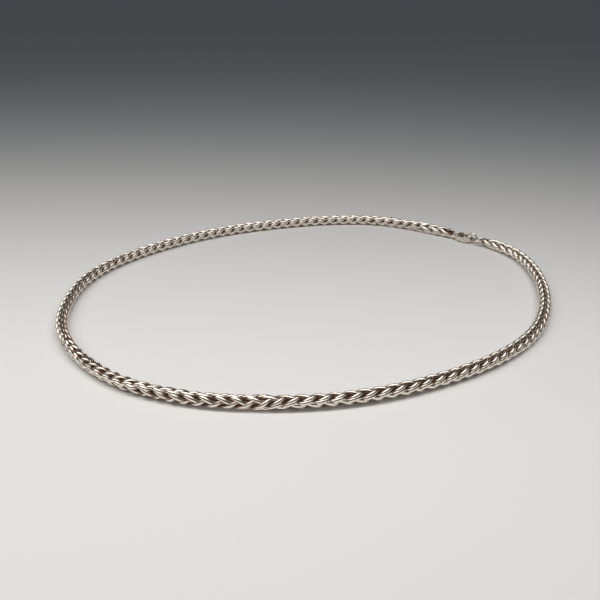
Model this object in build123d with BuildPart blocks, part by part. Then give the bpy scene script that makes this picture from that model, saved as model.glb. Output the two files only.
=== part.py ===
from build123d import *
from math import cos, pi, radians, sin, tan
import os

# A silver wheat chain necklace that lies on a flat surface as one open loop, closed by a
# lobster clasp at the back right. Millimetres, +Z up, the surface at Z = 0, the middle of the
# loop over the origin, +Y towards the back of the loop and +X to its right.

# Driving dimensions

# the chain: a round rope of doubled, folded links
chain_width = 3.9
end_clearance = 0.3          # from each end of the chain to the ring that hangs in it

# the three round wire rings, by their outside diameters
ring_wire = 0.65
tail_ring_diameter = 3.6     # between the chain's tail and the clasp's eyelet
hook_ring_diameter = 4.1     # in the clasp's hook
head_ring_diameter = 4.4     # between the hook ring and the chain's head
link_clearance = 0.15        # between wires that hang in each other

# the clasp
clasp_width = 4.8
clasp_thickness = 2.8        # at its belly, which lies on the surface
hook_wall = 1.0              # the bar of the hook, across and in height at its far end
hook_flat = 1.5              # how far from its end the hook keeps that height
eyelet_hole = 1.5
eyelet_wall = 0.7
eyelet_thickness = 0.9
eyelet_round = 0.2           # the rounded edges of the eyelet
neck_width = 2.0             # of the body's round end, beside the eyelet
neck_at = 1.6                # the middle of that round end, from the eyelet's centre
belly_lead = 0.6             # where the full thickness starts, back from the pin
belly_lap = 0.9              # where it ends, on from the back of the space inside the hook
mouth_depth = 3.45           # length of the space inside the hook
mouth_taper = 0.4            # how much narrower that space is at the lever's end
cheek_reach = 0.9            # how far on from the pin the cheeks beside the lever end
edge_round = 0.3             # the rounded edges of the clasp

# the lever, its slot and its pin
lever_width = 0.95
lever_height = 1.6
lever_reach = 3.25           # from the pin to the lever's tip, whose end is round about the pin
lever_root = 0.85            # radius of the lever round its pin
pivot_along = 2.5            # the pin, from the eyelet's centre
mouth_from_pin = 1.0         # the back of the space inside the hook, from the pin
pivot_aside = 0.45           # the pin, from the clasp's centre line
thumb_radius = 0.75          # the nub that the thumb pulls
thumb_lead = 0.4             # the nub, on from the pin
thumb_aside = 1.5            # the nub, from the clasp's centre line
slot_clearance = 0.1         # above, below and round the lever
tip_clearance = 0.15         # between the lever's tip and the hook's tip
pin_diameter = 0.7
pin_clearance = 0.05         # round the pin, in the lever
pin_seat_clearance = 0.02    # round the pin, in the body

# The fastening runs straight from the chain's tail to its head, in this direction.
clasp_heading = -42.5

# The chain's route, at the height of its middle: points chosen along the loop, from the stretch
# next to the head, on the right, round by the front and the left to the tail at the back.
route_points = [
    (71.4, 36.4),
    (74.2, 20.0),
    (73.4, 2.0),
    (69.2, -17.0),
    (61.6, -34.4),
    (48.4, -49.4),
    (31.4, -61.2),
    (12.4, -69.6),
    (-8.0, -72.8),
    (-28.6, -71.4),
    (-47.8, -63.2),
    (-61.8, -48.8),
    (-71.6, -30.6),
    (-74.2, -12.0),
    (-73.4, 8.0),
    (-65.2, 26.8),
    (-50.6, 44.4),
    (-33.0, 58.2),
    (-13.0, 67.0),
    (7.0, 72.2),
    (26.0, 72.4),
    (41.8, 64.0),
    (51.4, 56.6),
]
arc_share = 0.45             # of the shorter run, that each bend of the route takes


# Places worked out from the sizes

along = Vector(cos(radians(clasp_heading)), sin(radians(clasp_heading)), 0)
aside = Vector(-along.Y, along.X, 0)
up = Vector(0, 0, 1)
wire_radius = ring_wire / 2
chain_height = chain_width / 2
clasp_height = clasp_thickness / 2
tail_end = Vector(*route_points[-1], 0)


def bent_place(gap, height):
    """How far along a ring's wire stands from its centre, where it is height from it."""
    return (gap**2 - height**2) ** 0.5


def ring_radius(diameter):
    """Radius of the middle of a ring's wire."""
    return diameter / 2 - wire_radius


# distances along the fastening, from the chain's tail
tail_ring_at = end_clearance + tail_ring_diameter / 2
tail_wire_at = tail_ring_at + bent_place(
    ring_radius(tail_ring_diameter), tail_ring_diameter / 2 - clasp_height
)
eyelet_at = tail_wire_at
mouth_x = pivot_along + mouth_from_pin
hook_x = mouth_x + mouth_depth + hook_wall
hook_end_at = eyelet_at + hook_x
hook_bar_at = hook_end_at - hook_wall / 2
hook_ring_room = ring_radius(hook_ring_diameter) - wire_radius - hook_wall / 2 - link_clearance
hook_ring_at = hook_bar_at + bent_place(hook_ring_room, hook_ring_diameter / 2 - clasp_height)
head_wire_room = ring_radius(hook_ring_diameter) - 2 * wire_radius - link_clearance
head_wire_at = hook_ring_at + bent_place(head_wire_room, hook_ring_diameter / 2 - chain_height)
head_ring_at = head_wire_at + ring_radius(head_ring_diameter)
head_end_at = head_ring_at + head_ring_diameter / 2 + end_clearance


def on_fastening(distance, height):
    """The point that far from the chain's tail, at that height."""
    return tail_end + along * distance + up * height


# The chain, as a tube of straight runs joined by tangent arcs

head_end = on_fastening(head_end_at, 0)
route = [Vector(head_end.X, head_end.Y, chain_height)]
route += [Vector(x, y, chain_height) for x, y in route_points]
runs = [b - a for a, b in zip(route, route[1:])]
turns = [first.get_angle(second) for first, second in zip(runs, runs[1:])]
bend_radii = [
    arc_share * min(first.length, second.length) / tan(radians(turn) / 2)
    for first, second, turn in zip(runs, runs[1:], turns)
]

with BuildPart() as wheat_chain:
    with BuildLine() as chain_line:
        FilletPolyline(*route, radius=bend_radii)
    with BuildSketch(Plane(origin=route[0], z_dir=runs[0])):
        Circle(chain_width / 2)
    sweep(path=chain_line.line)
wheat_chain.part.label = "wheat_chain"


# The wire rings: two that stand on the surface and one that lies level in the chain's head


def wire_ring(diameter, distance, height, axis):
    """A closed ring of round wire about that axis."""
    place = Plane(origin=on_fastening(distance, height), x_dir=along, z_dir=axis)
    with BuildPart(place) as ring:
        Torus(ring_radius(diameter), wire_radius)
    return ring


tail_ring = wire_ring(tail_ring_diameter, tail_ring_at, tail_ring_diameter / 2, aside)
tail_ring.part.label = "tail_ring"
hook_ring = wire_ring(hook_ring_diameter, hook_ring_at, hook_ring_diameter / 2, aside)
hook_ring.part.label = "hook_ring"
head_ring = wire_ring(head_ring_diameter, head_ring_at, chain_height, up)
head_ring.part.label = "head_ring"


# The clasp's plan: local X runs from the eyelet's centre to the hook's end, and the lever is on
# the side of local -Y, which faces the inside of the loop

clasp_plane = Plane(origin=on_fastening(eyelet_at, clasp_height), x_dir=along, z_dir=up)
side_plane = Plane(origin=on_fastening(eyelet_at, clasp_height), x_dir=along, z_dir=-aside)
bow_radius = clasp_width / 2
bow_x = hook_x - bow_radius
neck_radius = neck_width / 2
neck_start = neck_at - neck_radius
mouth_radius = bow_radius - hook_wall
mouth_back_radius = mouth_radius - mouth_taper / 2
mouth_back_x = mouth_x + mouth_back_radius
pivot = (pivot_along, -pivot_aside)
thumb = (pivot_along + thumb_lead, -thumb_aside)
hook_tip_reach = lever_reach + tip_clearance
slot_round = lever_root + slot_clearance
belly_start = pivot_along - belly_lead
belly_end = mouth_x + belly_lap
cheek_end = pivot_along + cheek_reach


def two_round_hull(first_x, first_radius, second_x, second_radius):
    """The outline drawn tight round two circles on the clasp's centre line."""
    with Locations((first_x, 0)):
        Circle(first_radius)
    with Locations((second_x, 0)):
        Circle(second_radius)
    make_hull()


def lever_side(inset):
    """The clasp's plan drawn in by inset, on the lever's side and no further than its tip."""
    two_round_hull(neck_at, neck_radius - inset, bow_x, bow_radius - inset)
    with Locations((pivot_along, 0)):
        Rectangle(lever_reach, clasp_width, align=(Align.MIN, Align.MAX), mode=Mode.INTERSECT)
    with Locations(pivot):
        Circle(lever_reach, mode=Mode.INTERSECT)


with BuildPart() as clasp_body:
    with BuildSketch(clasp_plane):
        two_round_hull(neck_at, neck_radius, bow_x, bow_radius)
    extrude(amount=clasp_thickness / 2, both=True)
    # the side view, thin at the hook's end and at the neck
    with BuildSketch(side_plane):
        with BuildLine():
            Polyline(
                (0, -eyelet_thickness / 2),
                (neck_start, -eyelet_thickness / 2),
                (belly_start, -clasp_thickness / 2),
                (belly_end, -clasp_thickness / 2),
                (hook_x - hook_flat, -hook_wall / 2),
                (hook_x, -hook_wall / 2),
                (hook_x, hook_wall / 2),
                (hook_x - hook_flat, hook_wall / 2),
                (belly_end, clasp_thickness / 2),
                (belly_start, clasp_thickness / 2),
                (neck_start, eyelet_thickness / 2),
                (0, eyelet_thickness / 2),
                close=True,
            )
        make_face()
    extrude(amount=clasp_width, both=True, mode=Mode.INTERSECT)
    # the space inside the hook
    with BuildSketch(clasp_plane):
        two_round_hull(mouth_back_x, mouth_back_radius, bow_x, mouth_radius)
    extrude(amount=clasp_thickness, both=True, mode=Mode.SUBTRACT)
    fillet(clasp_body.edges(), edge_round)
    # the eyelet, a rounded ring on the neck
    with BuildSketch(clasp_plane):
        Circle(eyelet_hole / 2)
    extrude(amount=clasp_thickness, both=True, mode=Mode.SUBTRACT)
    with BuildSketch(Plane(origin=clasp_plane.origin, x_dir=along, z_dir=-aside)):
        with Locations((eyelet_hole / 2 + eyelet_wall / 2, 0)):
            RectangleRounded(eyelet_wall, eyelet_thickness, eyelet_round)
    revolve(axis=Axis(clasp_plane.origin, up))
    # the way into the hook, which the lever shuts
    with BuildSketch(clasp_plane):
        with Locations(pivot):
            Circle(hook_tip_reach)
        with Locations((cheek_end, 0)):
            Rectangle(hook_x, clasp_width, align=(Align.MIN, Align.MAX), mode=Mode.INTERSECT)
    extrude(amount=clasp_thickness, both=True, mode=Mode.SUBTRACT)
    # the slot that the lever's root turns in, and the pin's seat in the two cheeks beside it
    with BuildSketch(clasp_plane):
        with Locations(pivot):
            Circle(slot_round)
        with Locations((pivot_along, slot_round - pivot_aside)):
            Rectangle(cheek_end - pivot_along, clasp_width, align=(Align.MIN, Align.MAX))
        with Locations(thumb):
            Circle(thumb_radius + slot_clearance)
    extrude(amount=lever_height / 2 + slot_clearance, both=True, mode=Mode.SUBTRACT)
    with BuildSketch(clasp_plane):
        with Locations(pivot):
            Circle(pin_diameter / 2 + pin_seat_clearance)
    extrude(amount=clasp_thickness, both=True, mode=Mode.SUBTRACT)
clasp_body.part.label = "clasp_body"


# The lever, a bar that follows the clasp's outline from the pin to the hook's tip

with BuildPart() as clasp_lever:
    with BuildSketch(clasp_plane):
        lever_side(0)
    extrude(amount=lever_height / 2, both=True)
    with BuildSketch(clasp_plane):
        lever_side(lever_width)
    extrude(amount=lever_height / 2, both=True, mode=Mode.SUBTRACT)
    with BuildSketch(clasp_plane):
        with Locations(pivot):
            Circle(lever_root)
        with Locations(thumb):
            Circle(thumb_radius)
    extrude(amount=lever_height / 2, both=True)
    with BuildSketch(clasp_plane):
        with Locations(pivot):
            Circle(pin_diameter / 2 + pin_clearance)
    extrude(amount=clasp_thickness, both=True, mode=Mode.SUBTRACT)
clasp_lever.part.label = "clasp_lever"

with BuildPart() as clasp_pin:
    with BuildSketch(clasp_plane):
        with Locations(pivot):
            Circle(pin_diameter / 2)
    extrude(amount=clasp_thickness / 2, both=True)
clasp_pin.part.label = "clasp_pin"


# What the sizes come to

chain_length = sum(edge.length for edge in chain_line.edges())
tube_volume = pi * chain_width**2 / 4 * chain_length
print("bend radii of the chain:", [round(radius, 1) for radius in bend_radii])
print(f"tube volume {wheat_chain.part.volume:.1f}, section times length {tube_volume:.1f} cubic mm")
print(f"chain {chain_length:.1f} mm, whole loop {chain_length + head_end_at:.1f} mm")
pin_at = clasp_plane.from_local_coords(Vector(*pivot, 0))
print(f"lever pin at {pin_at.X:.4f}, {pin_at.Y:.4f}, {pin_at.Z:.4f}")

os.makedirs("parts", exist_ok=True)
for piece in (wheat_chain, tail_ring, hook_ring, head_ring, clasp_body, clasp_lever, clasp_pin):
    export_step(piece.part, f"parts/{piece.part.label}.step")
    box = piece.part.bounding_box()
    print(piece.part.label, "from", box.min, "to", box.max)
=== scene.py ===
# %% [markdown]
# # A round wheat chain, link by link
# The necklace is a rope nearly four millimetres thick, woven from doubled wire links. A lobster clasp
# closes it at the back, with one jump ring on its one side and two on the other. The measured model
# carries the rope as one smooth tube, because its 230 links would be far too many small solids there.
# This script keeps that model's rings and clasp, gives them a better silver, and puts interlocking links
# in the tube's place.

# %% Load the measured model
import bisect
import random
from math import cos, hypot, radians, sin

import bmesh
import bpy
from mathutils import Matrix, Vector


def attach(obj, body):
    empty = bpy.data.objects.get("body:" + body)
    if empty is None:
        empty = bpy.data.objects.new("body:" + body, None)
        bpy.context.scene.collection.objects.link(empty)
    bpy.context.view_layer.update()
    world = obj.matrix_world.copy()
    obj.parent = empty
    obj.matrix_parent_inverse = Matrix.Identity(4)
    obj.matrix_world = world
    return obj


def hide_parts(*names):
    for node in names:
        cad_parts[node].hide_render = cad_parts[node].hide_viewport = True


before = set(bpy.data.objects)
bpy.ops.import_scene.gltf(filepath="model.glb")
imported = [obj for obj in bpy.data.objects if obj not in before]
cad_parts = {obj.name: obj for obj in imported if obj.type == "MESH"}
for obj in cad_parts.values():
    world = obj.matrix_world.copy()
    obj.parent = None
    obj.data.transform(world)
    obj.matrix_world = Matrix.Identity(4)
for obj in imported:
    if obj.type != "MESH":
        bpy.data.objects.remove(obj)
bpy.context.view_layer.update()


# %% [markdown]
# ## Camera
# The picture is taken from in front and a little above, close enough for the front of the loop to look
# half as thick again as the back. The focal length and the distance were found by fitting the loop's
# outline and the rope's thickness at its front, sides and back, so the camera is set from numbers and not
# by eye.

# %% Set the camera
camera_place = (-0.0037, -0.2474, 0.1014)
camera_dip = 22.7
camera_data = bpy.data.cameras.new("camera")
camera_data.lens = 50.84
camera_data.sensor_width = 36.0
camera_data.clip_start = 0.01
camera = bpy.data.objects.new("camera", camera_data)
camera.location = camera_place
camera.rotation_euler = (radians(90.0 - camera_dip), 0.0, 0.0)
bpy.context.scene.collection.objects.link(camera)
bpy.context.scene.camera = camera
print("camera looks down by", camera_dip, "degrees from", round(1000 * camera_place[2], 1), "mm up")

# %% [markdown]
# ## The line the rope lies on
# A chain put down by hand never makes a true circle, so the loop follows the control points of the
# measured model. A NURBS spline runs smoothly between them, and Blender turns it into a fine polyline, on
# which the place at any distance along the rope can be looked up. It starts at the tail ring, runs round
# the back, the left, the front and the right of the loop, and ends at the head ring.

# %% Draw the line
rope_height = 0.00195
line_fineness = 24
route_points = [
    (0.06364, 0.04539), (0.0714, 0.0364), (0.0742, 0.0200), (0.0734, 0.0020), (0.0692, -0.0170),
    (0.0616, -0.0344), (0.0484, -0.0494), (0.0314, -0.0612), (0.0124, -0.0696), (-0.0080, -0.0728),
    (-0.0286, -0.0714), (-0.0478, -0.0632), (-0.0618, -0.0488), (-0.0716, -0.0306), (-0.0742, -0.0120),
    (-0.0734, 0.0080), (-0.0652, 0.0268), (-0.0506, 0.0444), (-0.0330, 0.0582), (-0.0130, 0.0670),
    (0.0070, 0.0722), (0.0260, 0.0724), (0.0418, 0.0640), (0.0514, 0.0566),
]
line_data = bpy.data.curves.new("rope_line", "CURVE")
line_data.dimensions = "3D"
line_spline = line_data.splines.new("NURBS")
line_spline.points.add(len(route_points) - 1)
for point, (x, y) in zip(line_spline.points, reversed(route_points)):
    point.co = (x, y, rope_height, 1.0)
line_spline.order_u = 3
line_spline.use_endpoint_u = True
line_spline.resolution_u = line_fineness
line_object = bpy.data.objects.new("rope_line", line_data)
line_mesh = bpy.data.meshes.new_from_object(line_object)
line_places = [vertex.co.copy() for vertex in line_mesh.vertices]
line_reach = [0.0]
for before, after in zip(line_places, line_places[1:]):
    line_reach.append(line_reach[-1] + (after - before).length)
rope_length = line_reach[-1]
bpy.data.objects.remove(line_object)
bpy.data.meshes.remove(line_mesh)
print("rope line:", len(line_places), "places,", round(1000 * rope_length, 1), "mm")


def on_rope(distance):
    """Place and direction at a distance from the line's start, straight on past either end."""
    index = min(max(bisect.bisect_right(line_reach, distance) - 1, 0), len(line_places) - 2)
    along = (line_places[index + 1] - line_places[index]).normalized()
    return line_places[index] + along * (distance - line_reach[index]), along


# %% [markdown]
# ## The path of one link's wire
# In this weave a link is a ring of wire that is pinched long, folded in two and closed towards its tips,
# with both ends of the fold side by side. Each fold is pushed through the two open tips of the link
# before the last, so on the rope's face every link shows as a slanted pair of wires, the grain of the
# wheat. Only one half of the link needs drawing, because the other is the same half given half a turn
# about the rope's middle. It is drawn in small units, a few to each step from link to link: x along the
# rope, y out towards the face, z across it.

# %% Draw the path of the wire
link_step = 0.001905
units_in_step = 5.2
unit = link_step / units_in_step
upper_wire = [
    (0.8, 0, 0), (0.4, 1.2, -0.55), (0.35, 2.2, -1), (2, 3.1, -0.95), (4.2, 3.55, -0.1),
    (6.4, 3.35, 1), (8.25, 2.5, 1.8), (9.95, 1.45, 2.05), (12.7, 1.31, 1.92),
]
tip = (15.2, 1.69, 0)
lower_wire = [
    (11.8, 1.31, -1.92), (8.6, 1.49, -1.4), (6.6, 2.62, -1.23), (4.2, 3.32, -1.49), (1.8, 3.15, -2.09),
    (-0.4, 2.44, -2.44), (-2, 1.92, -2.18), (-1.7, 1.31, -0.96), (-1.3, 0, 0),
]
half_link = upper_wire + [tip] + lower_wire
other_half = [(x, -y, -z) for x, y, z in reversed(half_link[1:-1])]
link_points = [Vector(point) * unit for point in half_link + other_half]
print("the wire's path has", len(link_points), "points")

# %% [markdown]
# ## The wire itself
# Round wire could be a curve with a bevel, but these links are bent corner by corner to follow the rope,
# which needs a mesh. So a square ring is extruded from point to point and bridged back to its start, and
# a Subdivision Surface rounds that cage off. Rounding also draws the wire in to about two thirds of the
# cage's radius, so the cage is made wider by that share. Every second link stands a quarter turn from the
# one before, so the second kind is the first one with y and z swapped.

# %% Make the two kinds of link
wire_radius = 1.62 * unit
share_left_by_rounding = 0.66
swap_y_and_z = Matrix(((1, 0, 0, 0), (0, 0, 1, 0), (0, 1, 0, 0), (0, 0, 0, 1)))


def ring_places(points):
    """A matrix for each point, that turns a flat ring square to the wire with as little twist as can be."""
    places = []
    turn = Vector((0, 0, 1)).rotation_difference((points[1] - points[-1]).normalized())
    places.append(Matrix.LocRotScale(points[0], turn, None))
    for index in range(1, len(points)):
        along = (points[(index + 1) % len(points)] - points[index - 1]).normalized()
        turn = (turn @ Vector((0, 0, 1))).rotation_difference(along) @ turn
        places.append(Matrix.LocRotScale(points[index], turn, None))
    return places


def make_link_mesh(name, points, radius, mirrored):
    """A closed loop of square rings: one ring, extruded from place to place, then bridged to its start."""
    places = ring_places(points)
    cage_radius = radius / share_left_by_rounding
    bm = bmesh.new()
    bmesh.ops.create_circle(bm, cap_ends=False, segments=4, radius=cage_radius, matrix=places[0])
    first_ring = bm.edges[:]
    ring = first_ring
    for before, after in zip(places, places[1:]):
        grown = bmesh.ops.extrude_edge_only(bm, edges=ring)["geom"]
        corners = [part for part in grown if isinstance(part, bmesh.types.BMVert)]
        bmesh.ops.transform(bm, matrix=after @ before.inverted(), verts=corners)
        grown_edges = [part for part in grown if isinstance(part, bmesh.types.BMEdge)]
        ring = [edge for edge in grown_edges if all(end in corners for end in edge.verts)]
    bmesh.ops.bridge_loops(bm, edges=ring + first_ring)
    if mirrored:
        bmesh.ops.transform(bm, matrix=swap_y_and_z, verts=bm.verts[:])
    bmesh.ops.recalc_face_normals(bm, faces=bm.faces[:])
    mesh = bpy.data.meshes.new(name)
    bm.to_mesh(mesh)
    bm.free()
    return mesh


side_link = make_link_mesh("side_link", link_points, wire_radius, False)
top_link = make_link_mesh("top_link", link_points, wire_radius, True)
print("wire", round(2000 * wire_radius, 2), "mm thick,", len(side_link.polygons), "faces in one link's cage")

# %% [markdown]
# ## How the rope rolls
# A rope that is laid down also rolls about itself, which shows in the photograph as the grain climbing
# from one side to the other. A list of angles gives that roll, each at its share of the way along the
# line. They were read from the photograph, which is soft at the back, so they are surest at the
# front.

# %% List the roll
roll_table = [
    (0.0, 0), (0.045, -72), (0.10, -80), (0.24, -78), (0.32, -66), (0.38, -62), (0.44, -43), (0.455, -30),
    (0.475, 12), (0.50, 50), (0.525, 38), (0.555, -15), (0.585, -50), (0.605, -60), (0.635, -138),
    (0.68, -132), (0.75, -124), (0.80, -114), (0.88, -112), (0.94, -150), (1.0, -180),
]


def roll_at(share):
    """The rope's roll in radians at a share of its length, eased between the list's angles."""
    for (from_share, from_roll), (to_share, to_roll) in zip(roll_table, roll_table[1:]):
        if share <= to_share:
            ease = min(max((share - from_share) / (to_share - from_share), 0.0), 1.0)
            ease = ease * ease * (3.0 - 2.0 * ease)
            return radians(from_roll + (to_roll - from_roll) * ease)
    return radians(roll_table[-1][1])


print("roll at the middle of the rope:", round(roll_at(0.5), 2), "radians")

# %% [markdown]
# ## Where each link goes
# The first link starts a little before the line, and the last one stops a little short of its end, since
# a link reaches much further ahead of its place than behind it. No two links of a worn rope lie quite
# alike, so each gets a slight turn, shift and shrinking of its own. They come from a random generator
# with a fixed start, which gives the same rope on every run.

# %% Place the links
starts_before = 0.00165
stops_short = 0.0036
link_span = rope_length - stops_short + starts_before
link_count = 2 * round(link_span / link_step / 2) + 1
link_places = [-starts_before + link_span * index / (link_count - 1) for index in range(link_count)]

most_turn = 6.0
most_shift = 0.00009
least_size = 0.955
chance = random.Random(11)
link_turns = [radians(chance.uniform(-most_turn, most_turn)) for index in range(link_count)]
link_shifts = [chance.uniform(-most_shift, most_shift) for index in range(link_count)]
link_sizes = [chance.uniform(least_size, 1.0) for index in range(link_count)]
print("links:", link_count, "each", round(1000 * link_span / (link_count - 1), 3), "mm apart")

# %% [markdown]
# ## The rope
# Each link could be an object of its own, but 230 of them would be hard to handle, so the rope is made in
# four stretches. Every corner of a link is carried to its own place on the line, so the links bend with
# the loop as the slack in a real rope lets them. Each corner also keeps a number, its distance from the
# rope's middle as a share of the distance at which the links' faces lie. It later says how brown the
# silver is there, which is partly tarnish and partly painted shade in the gaps.

# %% Lay the links
face_reach = 5.3 * unit


def carried(corner, index):
    """Where a corner of a link lies once that link is in its place on the bent and rolled rope."""
    reach = link_places[index] + link_shifts[index] + corner.x
    place, along = on_rope(reach)
    aside = Vector((0, 0, 1)).cross(along)
    roll = roll_at(reach / rope_length) + link_turns[index]
    y, z = corner.y * link_sizes[index], corner.z * link_sizes[index]
    sideways = y * cos(roll) - z * sin(roll)
    upwards = y * sin(roll) + z * cos(roll)
    return place + aside * sideways + Vector((0, 0, upwards))


def lay_links(name, first, last):
    """One stretch of the rope as one object, its links carried corner by corner to their places."""
    bm = bmesh.new()
    depth = bm.verts.layers.float.new("depth")
    for index in range(first, last):
        start = len(bm.verts)
        bm.from_mesh(top_link if index % 2 else side_link)
        bm.verts.ensure_lookup_table()
        for corner in bm.verts[start:]:
            corner[depth] = min(hypot(corner.co.y, corner.co.z) / face_reach, 1.0)
            corner.co = carried(corner.co, index)
    mesh = bpy.data.meshes.new(name)
    bm.to_mesh(mesh)
    bm.free()
    mesh.polygons.foreach_set("use_smooth", [True] * len(mesh.polygons))
    piece = bpy.data.objects.new(name, mesh)
    bpy.context.scene.collection.objects.link(piece)
    rounding = piece.modifiers.new("rounding", "SUBSURF")
    rounding.levels = rounding.render_levels = 1
    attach(piece, "necklace")
    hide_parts("wheat_chain")
    print(name, "has", last - first, "links and", len(mesh.polygons), "faces in its cage")
    return piece


stretches = ["chain_back", "chain_left", "chain_front", "chain_right"]
cuts = [round(link_count * share / len(stretches)) for share in range(len(stretches) + 1)]
rope_pieces = [lay_links(name, first, last) for name, first, last in zip(stretches, cuts, cuts[1:])]

# %% [markdown]
# ## Tools for the materials
# The materials are small chains of nodes. Each helper here adds one kind of node to a material's tree,
# feeds it from the socket before it, and hands on its own socket.

# %% Name the usual nodes
def new_material(name, metallic):
    """A material with its node tree and its Principled shader."""
    material = bpy.data.materials.new(name)
    material.use_nodes = True
    shader = material.node_tree.nodes["Principled BSDF"]
    shader.inputs["Metallic"].default_value = metallic
    return material, material.node_tree, shader


def own_place(tree):
    """The piece's own coordinates, which stay put when it moves."""
    return tree.nodes.new("ShaderNodeTexCoord").outputs["Object"]


def noise(tree, place, scale, detail):
    """Soft random patches from 0 to 1."""
    node = tree.nodes.new("ShaderNodeTexNoise")
    node.inputs["Scale"].default_value = scale
    node.inputs["Detail"].default_value = detail
    tree.links.new(place, node.inputs["Vector"])
    return node.outputs["Fac"]


def rescale(tree, value, reads, gives):
    """One range of values turned into another."""
    node = tree.nodes.new("ShaderNodeMapRange")
    node.inputs["From Min"].default_value, node.inputs["From Max"].default_value = reads
    node.inputs["To Min"].default_value, node.inputs["To Max"].default_value = gives
    tree.links.new(value, node.inputs["Value"])
    return node.outputs["Result"]


def ramp(tree, value, stops):
    """Colours from a list of positions and colours."""
    node = tree.nodes.new("ShaderNodeValToRGB")
    elements = node.color_ramp.elements
    elements[0].position, elements[0].color = stops[0]
    elements[1].position, elements[1].color = stops[-1]
    for position, colour in stops[1:-1]:
        elements.new(position).color = colour
    tree.links.new(value, node.inputs["Fac"])
    return node.outputs["Color"]


def combine(tree, operation, first, second):
    """Two values added or subtracted."""
    node = tree.nodes.new("ShaderNodeMath")
    node.operation = operation
    tree.links.new(first, node.inputs[0])
    tree.links.new(second, node.inputs[1])
    return node.outputs["Value"]


def on_vector(tree, operation, source, fixed=None):
    """A Vector Math node that works on one socket, with a fixed vector where it takes a second."""
    node = tree.nodes.new("ShaderNodeVectorMath")
    node.operation = operation
    tree.links.new(source, node.inputs[0])
    if fixed is not None:
        node.inputs[1].default_value = fixed
    return node.outputs


print("helpers for the materials are ready")

# %% [markdown]
# ## The rope's silver
# Polished silver is bright and slightly warm, and its look is mostly what it reflects. Where links rub
# they stay bright. In the gaps between them the colour is painted dark brown, duller and no longer metal:
# partly the brown tarnish that silver keeps in its hollows, partly painted shade for the shade that falls
# between the links. The depth on the links' corners drives colour, metal and roughness together. The
# brown isn't even: the front left of the loop is browner, so a small amount that fades with the distance
# from there is taken off the depth.

# %% Mix the rope's silver
# Deep in the gaps the colour is painted dark brown: partly tarnish, partly painted shade between the links.
in_the_gaps, half_brown, on_the_face = 0.62, 0.745, 0.87
tarnish_and_painted_shade_colours = [
    (in_the_gaps, (0.09, 0.05, 0.032, 1)), (half_brown, (0.34, 0.23, 0.165, 1)),
    (on_the_face, (0.92, 0.85, 0.76, 1)),
]
brownest_place = (-0.030, -0.071, 0.002)
chain_silver, tree, shader = new_material("chain_silver", 1.0)
depth_node = tree.nodes.new("ShaderNodeAttribute")
depth_node.attribute_name = "depth"
place = own_place(tree)
away = on_vector(tree, "DISTANCE", place, brownest_place)["Value"]
browner_by = rescale(tree, away, reads=(0.02, 0.13), gives=(0.08, -0.05))
shifted_depth = combine(tree, "SUBTRACT", depth_node.outputs["Fac"], browner_by)
tree.links.new(ramp(tree, shifted_depth, tarnish_and_painted_shade_colours), shader.inputs["Base Color"])

# Metal is turned off deep in the gaps, so no reflection lights them there: painted shade as well as tarnish.
metal_outside_brown_gaps = rescale(tree, shifted_depth, reads=(0.60, half_brown), gives=(0.05, 1.0))
tree.links.new(metal_outside_brown_gaps, shader.inputs["Metallic"])
wear = noise(tree, place, scale=900.0, detail=3.0)
worn_gloss = rescale(tree, wear, reads=(0.0, 1.0), gives=(0.14, 0.26))
dull_gaps = rescale(tree, shifted_depth, reads=(0.60, 0.77), gives=(0.45, 0.0))
tree.links.new(combine(tree, "ADD", worn_gloss, dull_gaps), shader.inputs["Roughness"])
for piece in rope_pieces:
    piece.data.materials.append(chain_silver)
print("chain_silver goes on", len(rope_pieces), "stretches of the rope")

# %% [markdown]
# ## Rings and clasp
# The rings are drawn wire and the clasp is cast and tumbled, so both are smoother than the links, and
# each keeps its measured shape. Handling leaves fine marks and a little brown in patches. Noise on the
# pieces' own coordinates makes the patches, the uneven gloss and the fine marks.

# %% Mix the rings' and the clasp's silver
mark_depth = 0.00001
mark_strength = 0.25


def worn_silver(name, bright, dull, smoothest, roughest):
    """Polished silver with soft brown patches, an uneven gloss and fine marks."""
    material, tree, shader = new_material(name, 1.0)
    place = own_place(tree)
    patches = noise(tree, place, scale=420.0, detail=4.0)
    tree.links.new(ramp(tree, patches, [(0.34, dull), (0.56, bright)]), shader.inputs["Base Color"])
    gloss = rescale(tree, patches, reads=(0.35, 0.65), gives=(roughest, smoothest))
    tree.links.new(gloss, shader.inputs["Roughness"])
    bump = tree.nodes.new("ShaderNodeBump")
    bump.inputs["Strength"].default_value = mark_strength
    bump.inputs["Distance"].default_value = mark_depth
    tree.links.new(noise(tree, place, scale=5200.0, detail=2.0), bump.inputs["Height"])
    tree.links.new(bump.outputs["Normal"], shader.inputs["Normal"])
    return material


ring_silver = worn_silver("ring_silver", (0.91, 0.85, 0.78, 1), (0.62, 0.52, 0.43, 1), 0.13, 0.24)
clasp_silver = worn_silver("clasp_silver", (0.92, 0.87, 0.81, 1), (0.66, 0.57, 0.48, 1), 0.12, 0.24)
fittings = {
    ring_silver: ("tail_ring", "hook_ring", "head_ring"),
    clasp_silver: ("clasp_body", "clasp_lever", "clasp_pin"),
}
for material, names in fittings.items():
    for name in names:
        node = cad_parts[name]
        node.data.materials.clear()
        node.data.materials.append(material)
    print(material.name, "goes on", ", ".join(names))

# %% [markdown]
# ## Floor
# The necklace lies on a pale plain surface, and the photograph shows no grain or shine on it. One big
# flat face is enough for it, in a matt paper white that is slightly warm.

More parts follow.
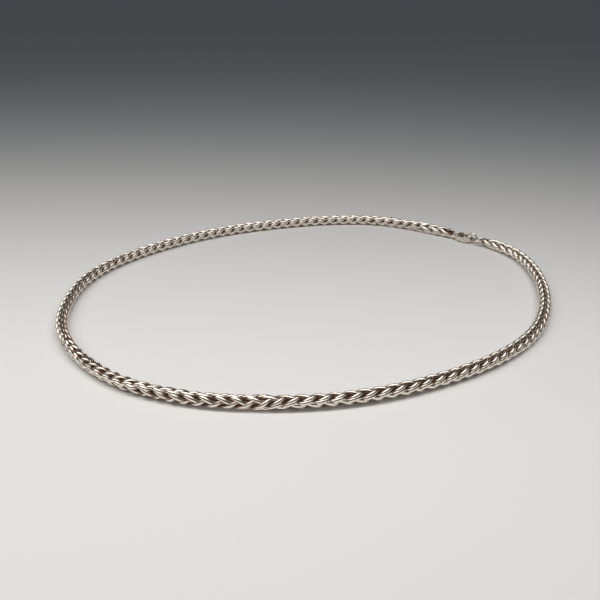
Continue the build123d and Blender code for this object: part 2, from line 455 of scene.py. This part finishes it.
# %% Lay the floor
floor_half_side = 2.5
floor_mesh = bpy.data.meshes.new("floor")
bm = bmesh.new()
bmesh.ops.create_grid(bm, x_segments=1, y_segments=1, size=floor_half_side)
bm.to_mesh(floor_mesh)
bm.free()
floor = bpy.data.objects.new("floor", floor_mesh)
bpy.context.scene.collection.objects.link(floor)
paper, tree, shader = new_material("paper", 0.0)
shader.inputs["Base Color"].default_value = (0.80, 0.785, 0.77, 1)
shader.inputs["Roughness"].default_value = 0.85
shader.inputs["Specular IOR Level"].default_value = 0.0
floor_mesh.materials.append(paper)
print("floor is", 2 * floor_half_side, "m wide")

# %% [markdown]
# ## Light
# One large soft light hangs over the front left of the loop and falls away towards the back, so the
# surface goes from nearly white to grey. A weak warm one in front lifts the near side. Both are hidden
# from the metal's reflections, because their hard edges would show there, and the room in the next step
# is reflected in their place.

# %% Hang the lights
def hang_light(name, place, aim, size, power, colour):
    """A rectangular light that faces the point it is aimed at, and that the metal doesn't mirror."""
    lamp = bpy.data.lights.new(name, "AREA")
    lamp.shape = "RECTANGLE"
    lamp.size, lamp.size_y = size
    lamp.energy = power
    lamp.color = colour
    holder = bpy.data.objects.new(name, lamp)
    holder.location = place
    holder.rotation_euler = (Vector(aim) - Vector(place)).to_track_quat("-Z", "Y").to_euler()
    holder.visible_glossy = False
    bpy.context.scene.collection.objects.link(holder)
    print(name, "at", place, "gives", power, "W")


hang_light(
    "softbox", place=(-0.11, -0.068, 0.233), aim=(-0.11, -0.068, 0.0), size=(0.68, 0.10), power=0.90,
    colour=(0.997, 0.982, 0.966),
)
hang_light(
    "front_fill", place=(-0.02, -0.24, 0.14), aim=(-0.02, -0.07, 0.0), size=(0.40, 0.12), power=0.12,
    colour=(1.0, 0.96, 0.91),
)

# %% [markdown]
# ## The room that the metal reflects
# Polished metal needs both bright and dark things to reflect. Overhead is a wide bright sheet that leans
# to the left, round it the room is dark, and low down it is a dull warm grey. The sheet is wider from
# left to right than from front to back, which the stretching of the direction gives. Only glossy rays see
# this room: all others get a faint bluish fill, which keeps the shadows on the floor from going brown.

# %% Paint the room
sheet_stretch = (0.62, 1.0, 1.0)
sheet_axis = Vector((-0.21, 0.05, 1.0)).normalized()
room_colours = [
    (0.0, (0.19, 0.16, 0.14, 1)), (0.22, (0.21, 0.18, 0.155, 1)), (0.40, (0.055, 0.049, 0.045, 1)),
    (0.79, (0.035, 0.035, 0.04, 1)), (0.87, (0.85, 0.835, 0.81, 1)), (0.92, (1.75, 1.73, 1.69, 1)),
    (1.0, (2.1, 2.09, 2.05, 1)),
]
world = bpy.data.worlds.new("studio")
bpy.context.scene.world = world
world.use_nodes = True
tree = world.node_tree
fill = tree.nodes["Background"]
fill.inputs["Color"].default_value = (0.82, 0.95, 1.07, 1)
fill.inputs["Strength"].default_value = 0.08

direction = tree.nodes.new("ShaderNodeTexCoord").outputs["Generated"]
stretched = on_vector(tree, "MULTIPLY", direction, sheet_stretch)["Vector"]
level = on_vector(tree, "NORMALIZE", stretched)["Vector"]
towards_sheet = on_vector(tree, "DOT_PRODUCT", level, sheet_axis)["Value"]
room = tree.nodes.new("ShaderNodeBackground")
tree.links.new(ramp(tree, towards_sheet, room_colours), room.inputs["Color"])

glossy_or_not = tree.nodes.new("ShaderNodeLightPath").outputs["Is Glossy Ray"]
choice = tree.nodes.new("ShaderNodeMixShader")
tree.links.new(glossy_or_not, choice.inputs["Fac"])
tree.links.new(fill.outputs["Background"], choice.inputs[1])
tree.links.new(room.outputs["Background"], choice.inputs[2])
tree.links.new(choice.outputs["Shader"], tree.nodes["World Output"].inputs["Surface"])
bpy.context.scene.view_settings.view_transform = "Standard"
print("the room has", len(room_colours), "colours from its floor to the sheet overhead")
